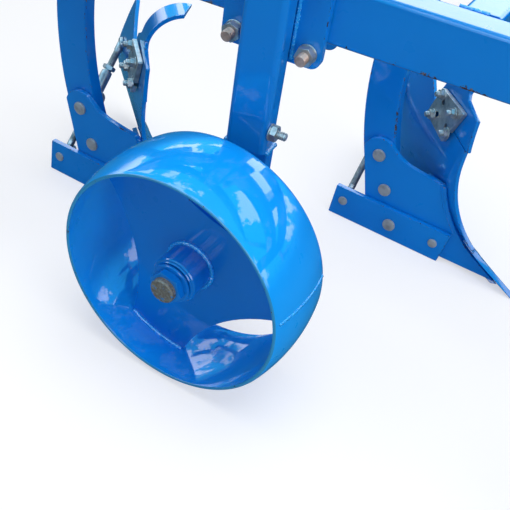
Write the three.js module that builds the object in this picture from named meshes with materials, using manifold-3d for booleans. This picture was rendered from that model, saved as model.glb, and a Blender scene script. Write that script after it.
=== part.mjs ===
// Two-furrow moldboard plough with a gauge wheel, for a category 1 three-point linkage.
// Millimetres. X is the direction of travel, Y is to the left, Z is up and the ground is Z = 0.
// While it is put together, X = 0 is the front body's rear landside bolt and Y = 0 that landside's face.
import * as THREE from 'three';
import { mergeVertices } from 'three/addons/utils/BufferGeometryUtils.js';
import Module from 'manifold-3d';

const wasm = await Module();
wasm.setup();

const DEG = Math.PI / 180;
const X = new THREE.Vector3(1, 0, 0);
const Y = new THREE.Vector3(0, 1, 0);
const Z = new THREE.Vector3(0, 0, 1);

// ---- driving dimensions ----
const seam = 0.3;                 // gap between pieces that touch

const bodySpacing = 479;          // front body to rear body along the travel
const furrowWidth = 242;          // sideways step from one body to the next

const landsideLength = 226;
const landsideHeight = 64;
const landsideThickness = 10;
const landsideHeel = 24;          // how far it reaches behind its rear bolt
const frogThickness = 10;
const shankThickness = 25;
const shankWidth = 62;
const shankRadius = 560;          // inner radius of the bent bar
const shankThroat = { x: 45, z: 317 };   // rearmost point of the bar's front edge
const shankFoot = 66;             // height of the bar's lower end

const shinX = 189.5;              // rearmost point of the cutting shin
const shinZ = 210;
const shinRadius = 190;           // shin curve below that point
const shinUpperRadius = 600;      // and above it
const shareSlope = 30 * DEG;
const shareHeight = 62;           // where share and moldboard meet
const shareThickness = 9;
const moldboardThickness = 7;
const moldboardHeight = 306;      // at its rear corner
const notch = { low: 240, high: 249, end: 104 };   // edge above the shin where the insert butts on
const bodyWidth = 250;            // cut and moldboard width
const furrowAngle = 42 * DEG;     // moldboard to the travel
const furrowTwist = 8 * DEG;      // more angle at twistHeight
const twistHeight = 352;
const shareTwist = 9 * DEG;       // less angle at the share's cutting edge, fading out at shareTwistHeight
const shareTwistHeight = 100;
const shareEnd = 222;             // the cutting edge's outer end

const stripThickness = 8;         // mounting strip behind the shin
const stripWidth = 52;

const insertBend = 306;           // where the curled insert leaves the moldboard's surface
const insertCurl = 60;            // radius it curls to
const insertNeck = { from: 47, to: 82 };
const bracketThickness = 8;       // slotted plate behind moldboard and insert

const frameHeight = 80;           // box section of the frame
const frameWidth = 50;
const frameCorner = 7;
const frameUnderside = 481;
const beamYaw = 6.3 * DEG;
const beamRear = -560;
const beamFaceY = -306;           // near face of the beam at the wheel leg
const crossAhead = 87;            // cross-member's middle ahead of the shank's upper front corner
const headX = 610;                // headstock beam
const headLength = 560;
const headY = -300;               // centre of the headstock

const linkSpan = 683;             // between the lower pins' shoulders
const linkPinRadius = 11;
const linkPinLength = 48;
const linkPinHeight = frameUnderside - 51;
const mastHeight = 460;           // top pin above the lower pins
const topPinRadius = 9.5;
const topClevisGap = 46;

const legX = -44.7;               // wheel leg
const legWidth = 60;
const legDepth = 40;
const legCorner = 9.5;
const legBottom = 322;
const clampWidth = 142;
const clampThickness = 14;
const clampBolt = { side: 52, below: 13, above: 15, radius: 8, nutRadius: 13.9, nutHeight: 14, end: 12 };

const wheelEdgeRadius = 172.5;    // outer radius at the open edges
const wheelRadius = 181;          // outer radius at the crown
const wheelWidth = 131;
const wheelSheet = 5;
const wheelCentre = new THREE.Vector3(-39.5, -462, wheelRadius);
const spiderThickness = 8;
const spiderWaist = 98;           // from the axle to the nearest point of the gaps between the arms
const spiderArc = 260;            // radius of the gaps' inner edges
const hubRadius = 35;
const hubOut = 43;                // hub on the outer side of the spider
const hubIn = 32;                 // and on the inner side
const axleRadius = 17;
const axleClearance = 0.3;

// ---- finishes ----
const paint = () => new THREE.MeshStandardMaterial({ color: 0x0a62c4, roughness: 0.22, metalness: 0.1 });
const zinc = () => new THREE.MeshStandardMaterial({ color: 0xa9b0ac, roughness: 0.38, metalness: 0.9 });
const worn = () => new THREE.MeshStandardMaterial({ color: 0x8a7a68, roughness: 0.55, metalness: 0.8 });

// ---- solids ----
function solid(geometry) {
  const bare = geometry.clone();
  bare.deleteAttribute('normal');
  bare.deleteAttribute('uv');
  const merged = mergeVertices(bare, 1e-4);
  return new wasm.Manifold(new wasm.Mesh({
    numProp: 3,
    vertProperties: new Float32Array(merged.attributes.position.array),
    triVerts: new Uint32Array(merged.index.array),
  }));
}

function geometryOf(manifold) {
  const mesh = manifold.getMesh();
  const geometry = new THREE.BufferGeometry();
  geometry.setAttribute('position', new THREE.BufferAttribute(mesh.vertProperties, 3));
  geometry.setIndex(new THREE.BufferAttribute(mesh.triVerts, 1));
  return geometry;
}

const unite = (...parts) => geometryOf(parts.map(solid).reduce((a, b) => a.add(b)));
const cut = (body, ...tools) => geometryOf(tools.map(solid).reduce((a, b) => a.subtract(b), solid(body)));
const common = (body, ...others) => geometryOf(others.map(solid).reduce((a, b) => a.intersect(b), solid(body)));

function mesh(name, geometry, material, parent) {
  const item = new THREE.Mesh(geometry, material);
  item.name = name;
  parent.add(item);
  return item;
}

// ---- outlines and extrusions ----
function outline(points) {
  const shape = new THREE.Shape();
  points.forEach(([a, b], i) => (i ? shape.lineTo(a, b) : shape.moveTo(a, b)));
  shape.closePath();
  return shape;
}

function roundedRectangle(width, height, radius) {
  const w = width / 2;
  const h = height / 2;
  const shape = new THREE.Shape();
  shape.moveTo(-w + radius, -h);
  shape.lineTo(w - radius, -h);
  shape.absarc(w - radius, -h + radius, radius, -Math.PI / 2, 0, false);
  shape.lineTo(w, h - radius);
  shape.absarc(w - radius, h - radius, radius, 0, Math.PI / 2, false);
  shape.lineTo(-w + radius, h);
  shape.absarc(-w + radius, h - radius, radius, Math.PI / 2, Math.PI, false);
  shape.lineTo(-w, -h + radius);
  shape.absarc(-w + radius, -h + radius, radius, Math.PI, Math.PI * 1.5, false);
  return shape;
}

const extruded = (shape, depth, segments = 6) =>
  new THREE.ExtrudeGeometry(shape, { depth, bevelEnabled: false, curveSegments: segments });

// an outline in X and Z, from y to y + thickness
function plateXZ(shape, y, thickness, segments) {
  const turn = new THREE.Matrix4().makeBasis(X, Z, Y.clone().negate());
  return extruded(shape, thickness, segments).applyMatrix4(turn).translate(0, y + thickness, 0);
}

// an outline in Y and Z, from x to x + length
function plateYZ(shape, x, length, segments) {
  const turn = new THREE.Matrix4().makeBasis(Y, Z, X);
  return extruded(shape, length, segments).applyMatrix4(turn).translate(x, 0, 0);
}

// an outline in X and Y, from z to z + height
const plateXY = (shape, z, height, segments) => extruded(shape, height, segments).translate(0, 0, z);

const block = (x0, x1, y0, y1, z0, z1) =>
  new THREE.BoxGeometry(x1 - x0, y1 - y0, z1 - z0).translate((x0 + x1) / 2, (y0 + y1) / 2, (z0 + z1) / 2);

// a round bar from one point to another
function rod(from, to, radius, sides = 20) {
  const axis = to.clone().sub(from);
  const turn = new THREE.Quaternion().setFromUnitVectors(Y, axis.clone().normalize());
  const middle = from.clone().add(to).multiplyScalar(0.5);
  return new THREE.CylinderGeometry(radius, radius, axis.length(), sides)
    .applyQuaternion(turn).translate(middle.x, middle.y, middle.z);
}

// ---- the working surface of a body ----
function shinAt(z) {
  const bend = shinZ - z;
  const limit = shinRadius * Math.cos(shareSlope);
  if (bend <= 0) return shinX + shinUpperRadius - Math.sqrt(shinUpperRadius ** 2 - bend ** 2);
  if (bend <= limit) return shinX + shinRadius - Math.sqrt(shinRadius ** 2 - bend ** 2);
  return shinX + shinRadius * (1 - Math.sin(shareSlope)) + (bend - limit) / Math.tan(shareSlope);
}

const angleAt = (z) => furrowAngle + furrowTwist * Math.sign(z) * (z / twistHeight) ** 2
  - shareTwist * Math.max(0, 1 - z / shareTwistHeight) ** 2;
const surfaceX = (y, z) => shinAt(z) - y / Math.tan(angleAt(z));

function behindSurface(y, z, depth) {
  const step = 0.5;
  const across = new THREE.Vector3(surfaceX(y + step, z) - surfaceX(y - step, z), 2 * step, 0);
  const upward = new THREE.Vector3(surfaceX(y, z + step) - surfaceX(y, z - step), 0, 2 * step);
  const normal = across.cross(upward).normalize();
  return new THREE.Vector3(surfaceX(y, z), y, z).addScaledVector(normal, -depth);
}

// a closed sheet that follows a point function of (y, z, depth)
function sheet(point, [y0, y1, columns], [z0, z1, rows], front, back) {
  const positions = [];
  for (const depth of [front, back]) {
    for (let j = 0; j <= rows; j++) {
      for (let i = 0; i <= columns; i++) {
        const p = point(y0 + (y1 - y0) * i / columns, z0 + (z1 - z0) * j / rows, depth);
        positions.push(p.x, p.y, p.z);
      }
    }
  }
  const layer = (columns + 1) * (rows + 1);
  const at = (i, j, side) => side * layer + j * (columns + 1) + i;
  const index = [];
  const quad = (a, b, c, d) => index.push(a, b, c, a, c, d);
  for (let j = 0; j < rows; j++) {
    for (let i = 0; i < columns; i++) {
      quad(at(i, j, 0), at(i + 1, j, 0), at(i + 1, j + 1, 0), at(i, j + 1, 0));
      quad(at(i, j, 1), at(i, j + 1, 1), at(i + 1, j + 1, 1), at(i + 1, j, 1));
    }
    quad(at(0, j, 0), at(0, j + 1, 0), at(0, j + 1, 1), at(0, j, 1));
    quad(at(columns, j, 0), at(columns, j, 1), at(columns, j + 1, 1), at(columns, j + 1, 0));
  }
  for (let i = 0; i < columns; i++) {
    quad(at(i, 0, 0), at(i, 0, 1), at(i + 1, 0, 1), at(i + 1, 0, 0));
    quad(at(i, rows, 0), at(i + 1, rows, 0), at(i + 1, rows, 1), at(i, rows, 1));
  }
  const geometry = new THREE.BufferGeometry();
  geometry.setAttribute('position', new THREE.Float32BufferAttribute(positions, 3));
  geometry.setIndex(index);
  return geometry;
}

// ---- pieces of a body ----
const surfaceReach = 520;         // outlines are swept this far to meet the surface
const frogFace = landsideThickness + seam;
const shankFace = frogFace + frogThickness + seam;
const shankBack = shankFace + shankThickness;

// front edge of the bent bar: an arc about a centre ahead of it
const shankCentre = { x: shankThroat.x + shankRadius, z: shankThroat.z };
function shankPoint(z, radius) {
  return [shankCentre.x - Math.sqrt(radius ** 2 - (z - shankCentre.z) ** 2), z];
}

function shankOutline(bottom, top) {
  const steps = 10;
  const heights = Array.from({ length: steps + 1 }, (_, i) => bottom + (top - bottom) * i / steps);
  const front = heights.map((z) => shankPoint(z, shankRadius));
  const rear = heights.map((z) => shankPoint(z, shankRadius + shankWidth)).reverse();
  return outline([...front, ...rear]);
}

const frameTop = frameUnderside + frameHeight;
const crossX = shankPoint(frameTop, shankRadius)[0] + crossAhead;
const shank = () => plateXZ(shankOutline(shankFoot, frameTop), shankFace, shankThickness);

// the mounting strip follows the moldboard's back
const stripFront = shareThickness + 2 * seam;
const stripBack = stripFront + stripThickness;
const frogBoltTop = { x: 41.5, z: 155.6 };
const frogTopRadius = 33;

function frog() {
  const shoulder = 156;           // height of the front upper corner
  const foot = 4;
  const shoulderX = surfaceX(frogFace + frogThickness, shoulder) - stripBack;
  const shape = new THREE.Shape();
  shape.moveTo(50, foot);
  shape.lineTo(frogBoltTop.x - frogTopRadius, frogBoltTop.z + 6);
  shape.absarc(frogBoltTop.x, frogBoltTop.z, frogTopRadius, Math.PI * 0.93, Math.PI * 0.33, true);
  shape.quadraticCurveTo(96, 158, shoulderX - 24, shoulder - 2);
  shape.lineTo(shoulderX - 12, shoulder + 12);
  shape.lineTo(shinX, shoulder + 12);
  shape.lineTo(shinAt(foot), foot);
  const web = plateXZ(shape, frogFace, frogThickness, 8);
  const ahead = sheet(behindSurface, [-20, 80, 4], [-80, 240, 16], -140, stripFront + 1);
  const strip = common(
    sheet(behindSurface, [2, stripWidth, 3], [-20, 210, 16], stripFront, stripBack),
    plateYZ(outline([[2, 6], [stripWidth, 6], [stripWidth, 150], [22, 186], [2, 186]]), 0, surfaceReach),
  );
  const shankRoom = block(-100, shankPoint(shankFoot, shankRadius)[0] + seam, shankFace - seam, shankBack + seam, -10, 250);
  return cut(unite(cut(web, ahead), strip), shankRoom);
}

function landside() {
  const heel = -landsideHeel;
  return plateXZ(outline([
    [heel, 0], [heel + landsideLength, 0], [heel + landsideLength + 9, landsideHeight],
    [heel + 5, landsideHeight],
  ]), 0, landsideThickness);
}

// outlines of share and moldboard as seen from the front
function shareOutline() {
  return outline([[-2, 0], [shareEnd, 0], [bodyWidth - 8, shareHeight], [-2, shareHeight]]);
}

function moldboardOutline() {
  const low = shareHeight + seam;
  const wing = bodyWidth - 77;     // rear upper corner
  return outline([
    [0, low], [bodyWidth - 8, low], [bodyWidth - 2, low + 22], [bodyWidth - 41, 185], [bodyWidth - 60, 245],
    [wing + 5, moldboardHeight - 8], [wing + 3, moldboardHeight - 2], [wing - 2, moldboardHeight],
    [wing - 8, moldboardHeight - 4], [wing - 30, moldboardHeight - 23],
    [notch.end + 18, notch.high + 15], [notch.end, notch.high - 1], [0, notch.low - 1],
  ]);
}

function share() {
  const blank = sheet(behindSurface, [-8, bodyWidth + 30, 10], [-30, shareHeight + 20, 8], 0, shareThickness);
  return common(blank, plateYZ(shareOutline(), -200, surfaceReach + 200));
}

function moldboard() {
  const blank = sheet(behindSurface, [-8, bodyWidth + 20, 12], [40, moldboardHeight + 20, 14], 0, moldboardThickness);
  return common(blank, plateYZ(moldboardOutline(), -200, surfaceReach + 200));
}

// the insert continues the moldboard's surface above the notch and curls forward
function insertPoint(y, run, depth) {
  if (run <= insertBend) return behindSurface(y, run, depth);
  const start = behindSurface(y, insertBend, 0);
  const normal = start.clone().sub(behindSurface(y, insertBend, 1));
  const lean = Math.asin(-normal.z);
  const turn = lean + (run - insertBend) / insertCurl;
  const outer = insertCurl + depth;
  const reach = insertCurl * Math.cos(lean) - outer * Math.cos(turn);
  const lift = outer * Math.sin(turn) - insertCurl * Math.sin(lean);
  return start.addScaledVector(normal.setZ(0).normalize(), reach).addScaledVector(Z, lift);
}

// its two side edges from the notch up, as [y, height along the surface]
const insertEdges = [
  [[-5, notch.low], [notch.end, notch.high]],
  [[5, insertBend - 12], [notch.end - 4, insertBend - 14]],
  [[insertNeck.from, insertBend - 6], [insertNeck.to, insertBend - 7]],
  [[insertNeck.from, insertBend + 80], [insertNeck.to, insertBend + 96]],
];

function insertAcross(across, along, depth) {
  const step = Math.min(Math.floor(along), insertEdges.length - 2);
  const [[nearY, nearRun], [farY, farRun]] = insertEdges[step].map((low, side) => {
    const high = insertEdges[step + 1][side];
    return low.map((value, i) => value + (high[i] - value) * (along - step));
  });
  return insertPoint(nearY + (farY - nearY) * across, nearRun + (farRun - nearRun) * across, depth);
}

const trashInsert = () =>
  sheet(insertAcross, [0, 1, 4], [0, insertEdges.length - 1, 27], 0, moldboardThickness);

function insertBracket() {
  const front = moldboardThickness + seam;
  const blank = sheet(behindSurface, [10, 120, 6], [196, 316, 8], front, front + bracketThickness);
  return common(blank, plateYZ(outline([
    [27, notch.low + 48], [42, notch.low - 24], [notch.end - 6, notch.high - 25], [notch.end - 12, notch.high + 35],
  ]), 0, surfaceReach));
}

// stay from the landside's rear bolt to the back of the wing
const stayFoot = new THREE.Vector3(0, landsideThickness + 7, 37);
const stayHead = { y: 178, z: 205 };

function stayRod() {
  const head = behindSurface(stayHead.y, stayHead.z, moldboardThickness - 2);
  const along = head.clone().sub(stayFoot);
  const at = (share) => stayFoot.clone().addScaledVector(along, share);
  const eye = rod(new THREE.Vector3(0, landsideThickness + seam, stayFoot.z),
    new THREE.Vector3(0, landsideThickness + 12, stayFoot.z), 15, 24);
  const body = unite(eye, rod(stayFoot, head, 7, 14), rod(at(0.46), at(0.8), 10.5, 6), rod(at(0.82), at(0.86), 11, 6));
  const wing = sheet(behindSurface, [stayHead.y - 60, stayHead.y + 60, 4], [stayHead.z - 60, stayHead.z + 60, 6],
    -30, moldboardThickness + seam);
  return cut(body, wing);
}

// cheeks that hold the shank under the cross-member
const cheekThickness = 10;
const crossRear = crossX - frameWidth / 2;
const onShank = (z) => ({ x: shankPoint(z, shankRadius + shankWidth / 2)[0], z });
const pivot = onShank(frameTop - 22);
const shear = onShank(frameUnderside + 14);
const boltRadius = 10;
const boltHead = 15;

function shankBracket() {
  const cheekShape = outline([
    [shear.x - 26, frameUnderside - 8], [shear.x + 22, frameUnderside - 8], [crossRear - 40, frameUnderside],
    [crossRear - seam, frameUnderside], [crossRear - seam, frameTop], [pivot.x - 30, frameTop],
  ]);
  const right = plateXZ(cheekShape, shankFace - seam - cheekThickness, cheekThickness);
  const left = plateXZ(cheekShape, shankBack + seam, cheekThickness);
  const web = block(crossRear - seam - 12, crossRear - seam, shankFace - seam - cheekThickness,
    shankBack + seam + cheekThickness, frameUnderside, frameTop);
  return unite(right, left, web);
}

const boltHole = ({ x, z }) => rod(new THREE.Vector3(x, -80, z), new THREE.Vector3(x, 140, z), boltRadius + seam, 16);

function throughBolt({ x, z }, reach) {
  const near = shankFace - seam - cheekThickness - seam;
  const far = shankBack + seam + cheekThickness + seam;
  const point = (y) => new THREE.Vector3(x, y, z);
  return unite(rod(point(near - reach), point(far + reach), boltRadius, 16),
    rod(point(near - 13), point(near), boltHead + 1, 6), rod(point(far), point(far + 16), boltHead + 1, 6));
}

function addBody(side, parent, x, y) {
  const group = new THREE.Group();
  group.position.set(x, y, 0);
  parent.add(group);
  mesh(`${side}_shank`, cut(shank(), boltHole(pivot), boltHole(shear)), paint(), group);
  mesh(`${side}_shank_bracket`, cut(shankBracket(), boltHole(pivot), boltHole(shear)), paint(), group);
  mesh(`${side}_pivot_bolt`, throughBolt(pivot, 20), zinc(), group);
  mesh(`${side}_shear_bolt`, throughBolt(shear, 18), zinc(), group);
  mesh(`${side}_frog`, frog(), paint(), group);
  mesh(`${side}_landside`, landside(), paint(), group);
  mesh(`${side}_share`, share(), paint(), group);
  mesh(`${side}_moldboard`, moldboard(), paint(), group);
  mesh(`${side}_trash_insert`, trashInsert(), paint(), group);
  mesh(`${side}_insert_bracket`, insertBracket(), zinc(), group);
  mesh(`${side}_stay_rod`, stayRod(), zinc(), group);
}

// ---- frame ----
const frameSection = () => roundedRectangle(frameWidth, frameHeight, frameCorner);
const frameMiddle = frameUnderside + frameHeight / 2;

// a straight member from one point of the plan to another
function member(x0, y0, x1, y1) {
  const length = Math.hypot(x1 - x0, y1 - y0);
  return plateYZ(frameSection(), 0, length, 4).rotateZ(Math.atan2(y1 - y0, x1 - x0)).translate(x0, y0, frameMiddle);
}

// centre line of the beam
const beamSlope = Math.tan(beamYaw);
const beamAxisY = (x) => beamFaceY + (x - legX) * beamSlope + frameWidth / 2 / Math.cos(beamYaw);
const farFaceY = (x) => beamAxisY(x) + (frameWidth / 2 + seam) / Math.cos(beamYaw);
const headRear = headX - frameWidth / 2;

function mainBeam() {
  const long = member(beamRear, beamAxisY(beamRear), headX + 100, beamAxisY(headX + 100));
  return cut(long, block(headRear - seam, headX + 300, -900, 600, 0, 900));
}

// runs across the travel from the beam's far face to the shank it carries
function crossMember(x, end) {
  const long = member(x, beamAxisY(x), x, end);
  const trim = plateXY(outline([
    [x - 200, -900], [x + 200, -900], [x + 200, farFaceY(x + 200)], [x - 200, farFaceY(x - 200)],
  ]), 0, 900);
  return cut(long, trim);
}

const crossEnd = shankBack + seam + cheekThickness;

function frameBrace() {
  const startX = crossX + frameWidth / 2 + seam;
  const y0 = crossEnd - frameWidth / 2 - 6;
  const y1 = headY + headLength / 2 - frameWidth / 2 - 10;
  const long = member(startX - 60, y0, headRear + 60, y1);
  return common(long, block(startX, headRear - seam, -900, 600, 0, 900));
}

const headRight = headY - headLength / 2;
const headLeft = headY + headLength / 2;
const headBeam = () => member(headX, headRight, headX, headLeft);

// ---- headstock ----
const linkCheek = 14;
const linkX = headX + frameWidth / 2 + 46;
const topPinHeight = linkPinHeight + mastHeight;

function lowerLink(side) {
  const sign = Math.sign(side);
  const shoulder = headY + sign * linkSpan / 2;
  const cheekShape = new THREE.Shape();
  const face = headX + frameWidth / 2 + seam;
  cheekShape.moveTo(face, frameTop - 10);
  cheekShape.lineTo(face, frameUnderside - 14);
  cheekShape.lineTo(linkX - 30, linkPinHeight - 22);
  cheekShape.absarc(linkX, linkPinHeight, 32, Math.PI * 1.25, Math.PI * 2.2, false);
  cheekShape.lineTo(face + 40, frameTop - 10);
  const inner = sign > 0 ? headLeft - 60 : headRight + 60 - linkCheek;
  const cheek = plateXZ(cheekShape, inner, linkCheek, 10);
  const start = inner + linkCheek / 2;
  const spot = (y) => new THREE.Vector3(linkX, y, linkPinHeight);
  return unite(cheek, rod(spot(start), spot(shoulder), 20, 24),
    rod(spot(shoulder - sign), spot(shoulder + sign * linkPinLength), linkPinRadius, 24));
}

const mastFootGap = 300;          // between the mast's feet
const mastBar = { width: 60, thickness: 12 };

function mastLeg(sign) {
  const footY = headY + sign * mastFootGap / 2;
  const topY = headY + sign * (topClevisGap / 2 + mastBar.thickness / 2);
  const bend = topPinHeight - 70;
  const t = mastBar.thickness;
  const outer = sign * t / 2;
  const path = [[footY, frameTop + seam], [topY, bend], [topY, topPinHeight + 28]];
  const points = [...path.map(([y, z]) => [y + outer, z]), ...path.reverse().map(([y, z]) => [y - outer, z])];
  const bar = plateYZ(outline(points), headX - mastBar.width / 2, mastBar.width);
  const hole = rod(new THREE.Vector3(headX, headY - 200, topPinHeight),
    new THREE.Vector3(headX, headY + 200, topPinHeight), topPinRadius + seam, 20);
  return cut(bar, hole);
}

function topPin() {
  const half = topClevisGap / 2 + mastBar.thickness;
  const spot = (y) => new THREE.Vector3(headX, headY + y, topPinHeight);
  return unite(rod(spot(-half - 26), spot(half + 30), topPinRadius, 20), rod(spot(half + seam), spot(half + 8), 17, 20));
}

// stay from the mast's top down to the beam
const stayEndX = -330;

function mastStay() {
  const topX = headX - mastBar.width / 2 - seam;
  const topY = headY;
  const topZ = topPinHeight - 40;
  const endY = beamAxisY(stayEndX);
  const run = new THREE.Vector3(topX, topY, topZ).sub(new THREE.Vector3(stayEndX, endY, frameTop));
  const length = run.length();
  const pitch = Math.asin(run.z / length);
  const yaw = Math.atan2(run.y, run.x);
  const bar = plateYZ(roundedRectangle(40, 40, 5), -60, length + 120, 4)
    .rotateY(-pitch).rotateZ(yaw).translate(stayEndX, endY, frameTop + 24);
  return common(bar, block(-900, topX, -900, 600, frameTop + seam, 2000));
}

// ---- gauge wheel ----
function onBeam(geometry) {
  return geometry.rotateZ(beamYaw).translate(legX, beamFaceY, 0);
}

// in these the beam's near face is y = 0 and the leg's centre line x = 0
const clampFront = -seam - clampThickness;
const clampBottom = frameUnderside - clampBolt.below - 20;
const clampTop = frameTop + clampBolt.above + 20;
const legFront = clampFront - seam - legDepth;

function clampShape() {
  return roundedRectangle(clampWidth, clampTop - clampBottom, 14);
}

const clampBolts = [-1, 1].flatMap((side) => [
  [side * clampBolt.side, frameUnderside - clampBolt.below],
  [side * clampBolt.side, frameTop + clampBolt.above],
]);

const clampPlate = (y, segments) => plateXZ(clampShape(), y, clampThickness, segments)
  .translate(0, 0, (clampTop + clampBottom) / 2);

function clampFrontPlate() {
  const holes = clampBolts.map(([x, z]) =>
    rod(new THREE.Vector3(x, -100, z), new THREE.Vector3(x, 40, z), clampBolt.radius + seam, 14));
  return onBeam(cut(clampPlate(clampFront, 6), ...holes));
}

function clampBackPlate() {
  const back = frameWidth + seam;
  const { radius, nutRadius, nutHeight, end } = clampBolt;
  const studs = clampBolts.flatMap(([x, z]) => {
    const spot = (y) => new THREE.Vector3(x, y, z);
    return [
      rod(spot(clampFront - nutHeight - end), spot(back + 4), radius, 14),
      rod(spot(clampFront - seam - nutHeight), spot(clampFront - seam), nutRadius, 6),
      rod(spot(back + clampThickness - 1), spot(back + clampThickness + 12), nutRadius, 6),
    ];
  });
  return onBeam(unite(clampPlate(back, 6), ...studs));
}

// a locking screw with a nut, let into the leg from its forward side
const legScrew = { y: legFront + 12, z: 356, radius: 6, depth: 24, nutRadius: 12, nutHeight: 11, end: 13 };

function wheelLeg() {
  const section = roundedRectangle(legWidth, legDepth, legCorner);
  const tube = plateXY(section, legBottom, clampTop + 24 - legBottom, 4).translate(0, legFront + legDepth / 2, 0);
  const spot = (x) => new THREE.Vector3(x, legScrew.y, legScrew.z);
  const hole = rod(spot(legWidth / 2 - legScrew.depth), spot(legWidth), legScrew.radius + seam, 16);
  return onBeam(cut(tube, hole));
}

function legBolt() {
  const { y, z, radius, depth, nutRadius, nutHeight, end } = legScrew;
  const face = legWidth / 2 + seam;
  const spot = (x) => new THREE.Vector3(x, y, z);
  return onBeam(unite(rod(spot(face - depth), spot(face + nutHeight + end), radius, 16),
    rod(spot(face), spot(face + nutHeight), nutRadius, 6)));
}

// carries the axle below the leg, square to the travel
const carrierThickness = legDepth - 12;

function axleCarrier() {
  const top = legBottom - seam;
  const half = legWidth / 2;
  const low = wheelCentre.z - 34;
  const shape = outline([[-half, low + 14], [-half + 14, low], [half - 14, low], [half, low + 14],
    [half, top - 20], [half, top], [-half, top]]);
  const arm = onBeam(plateXZ(shape, legFront + legDepth - carrierThickness, carrierThickness));
  const spot = (y) => new THREE.Vector3(wheelCentre.x, y, wheelCentre.z);
  const armY = beamFaceY + legFront + legDepth - carrierThickness / 2;
  return unite(arm, rod(spot(armY), spot(axleShoulder), 26, 28), rod(spot(armY), spot(axleEnd), axleRadius, 28));
}

const spiderY = wheelCentre.y - spiderThickness / 2;
const hubFront = spiderY - hubOut;
const hubBack = spiderY + spiderThickness + hubIn;
const axleShoulder = hubBack + 1;
const axleEnd = hubFront - 26;

function onAxle(geometry) {
  return geometry.translate(wheelCentre.x, 0, wheelCentre.z);
}

// radius of the barrel's outer surface at a distance from its middle
const crown = wheelRadius - wheelEdgeRadius;
const crownRadius = ((wheelWidth / 2) ** 2 + crown ** 2) / (2 * crown);
const barrel = (offset) => wheelRadius - crownRadius + Math.sqrt(crownRadius ** 2 - offset ** 2);

function wheelRim() {
  const steps = 8;
  const offsets = Array.from({ length: steps + 1 }, (_, i) => wheelWidth * (i / steps - 0.5));
  const outer = offsets.map((o) => new THREE.Vector2(barrel(o), o));
  const inner = offsets.map((o) => new THREE.Vector2(barrel(o) - wheelSheet, o)).reverse();
  const profile = [...outer, ...inner, outer[0]];
  return onAxle(new THREE.LatheGeometry(profile, 54).translate(0, wheelCentre.y, 0));
}

function wheelSpider() {
  const radius = barrel(spiderThickness / 2) - wheelSheet - seam;
  const reach = spiderWaist + spiderArc;
  const disc = rod(new THREE.Vector3(0, spiderY, 0), new THREE.Vector3(0, spiderY + spiderThickness, 0), radius, 54);
  const first = -46 * DEG;
  const cuts = [0, 1, 2].map((i) => {
    const angle = first + i * 120 * DEG;
    const x = Math.cos(angle) * reach;
    const z = Math.sin(angle) * reach;
    return rod(new THREE.Vector3(x, spiderY - 5, z), new THREE.Vector3(x, spiderY + spiderThickness + 5, z), spiderArc, 96);
  });
  const bore = rod(new THREE.Vector3(0, spiderY - 5, 0), new THREE.Vector3(0, spiderY + spiderThickness + 5, 0),
    hubRadius + seam, 40);
  return onAxle(cut(disc, ...cuts, bore));
}

function wheelHub() {
  const bore = axleRadius + axleClearance;
  const profile = [[bore, hubFront], [hubRadius - 4, hubFront], [hubRadius - 4, hubFront + 6], [hubRadius, hubFront + 6],
    [hubRadius, spiderY - 6], [hubRadius + 7, spiderY - seam], [hubRadius, spiderY - seam], [hubRadius, hubBack],
    [bore, hubBack], [bore, hubFront]].map(([r, y]) => new THREE.Vector2(r, y));
  return onAxle(new THREE.LatheGeometry(profile, 32));
}

function axleNut() {
  const face = hubFront - 2;
  const washer = rod(new THREE.Vector3(0, face - 4, 0), new THREE.Vector3(0, face, 0), 30, 32);
  const nut = rod(new THREE.Vector3(0, face - 16, 0), new THREE.Vector3(0, face - 3, 0), 26, 6);
  const hole = rod(new THREE.Vector3(0, face - 40, 0), new THREE.Vector3(0, face + 20, 0), axleRadius + seam, 28);
  return onAxle(cut(unite(washer, nut), hole));
}

// ---- assembly ----
const plough = new THREE.Group();
plough.name = 'moldboard_plough';

mesh('main_beam', mainBeam(), paint(), plough);
mesh('front_cross_member', crossMember(crossX, crossEnd), paint(), plough);
mesh('rear_cross_member', crossMember(crossX - bodySpacing, crossEnd - furrowWidth), paint(), plough);
mesh('headstock_beam', headBeam(), paint(), plough);
mesh('frame_brace', frameBrace(), paint(), plough);
mesh('lower_link_left', lowerLink(1), paint(), plough);
mesh('lower_link_right', lowerLink(-1), paint(), plough);
mesh('mast_left', mastLeg(1), paint(), plough);
mesh('mast_right', mastLeg(-1), paint(), plough);
mesh('top_link_pin', topPin(), zinc(), plough);
mesh('mast_stay', mastStay(), paint(), plough);

addBody('front', plough, 0, 0);
addBody('rear', plough, -bodySpacing, -furrowWidth);

mesh('wheel_clamp_front', clampFrontPlate(), paint(), plough);
mesh('wheel_clamp_back', clampBackPlate(), paint(), plough);
mesh('wheel_leg', wheelLeg(), paint(), plough);
mesh('leg_bolt', legBolt(), zinc(), plough);
mesh('axle_carrier', axleCarrier(), paint(), plough);
mesh('axle_nut', axleNut(), worn(), plough);
mesh('wheel_rim', wheelRim(), paint(), plough);
mesh('wheel_spider', wheelSpider(), paint(), plough);
mesh('wheel_hub', wheelHub(), paint(), plough);

// the finished part's origin is the middle of its footprint, on the ground
const box = new THREE.Box3().setFromObject(plough);
plough.position.set(-(box.min.x + box.max.x) / 2, -(box.min.y + box.max.y) / 2, -box.min.z);

export default plough;
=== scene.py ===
import math
import random

import bpy
from mathutils import Matrix, Vector


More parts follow.
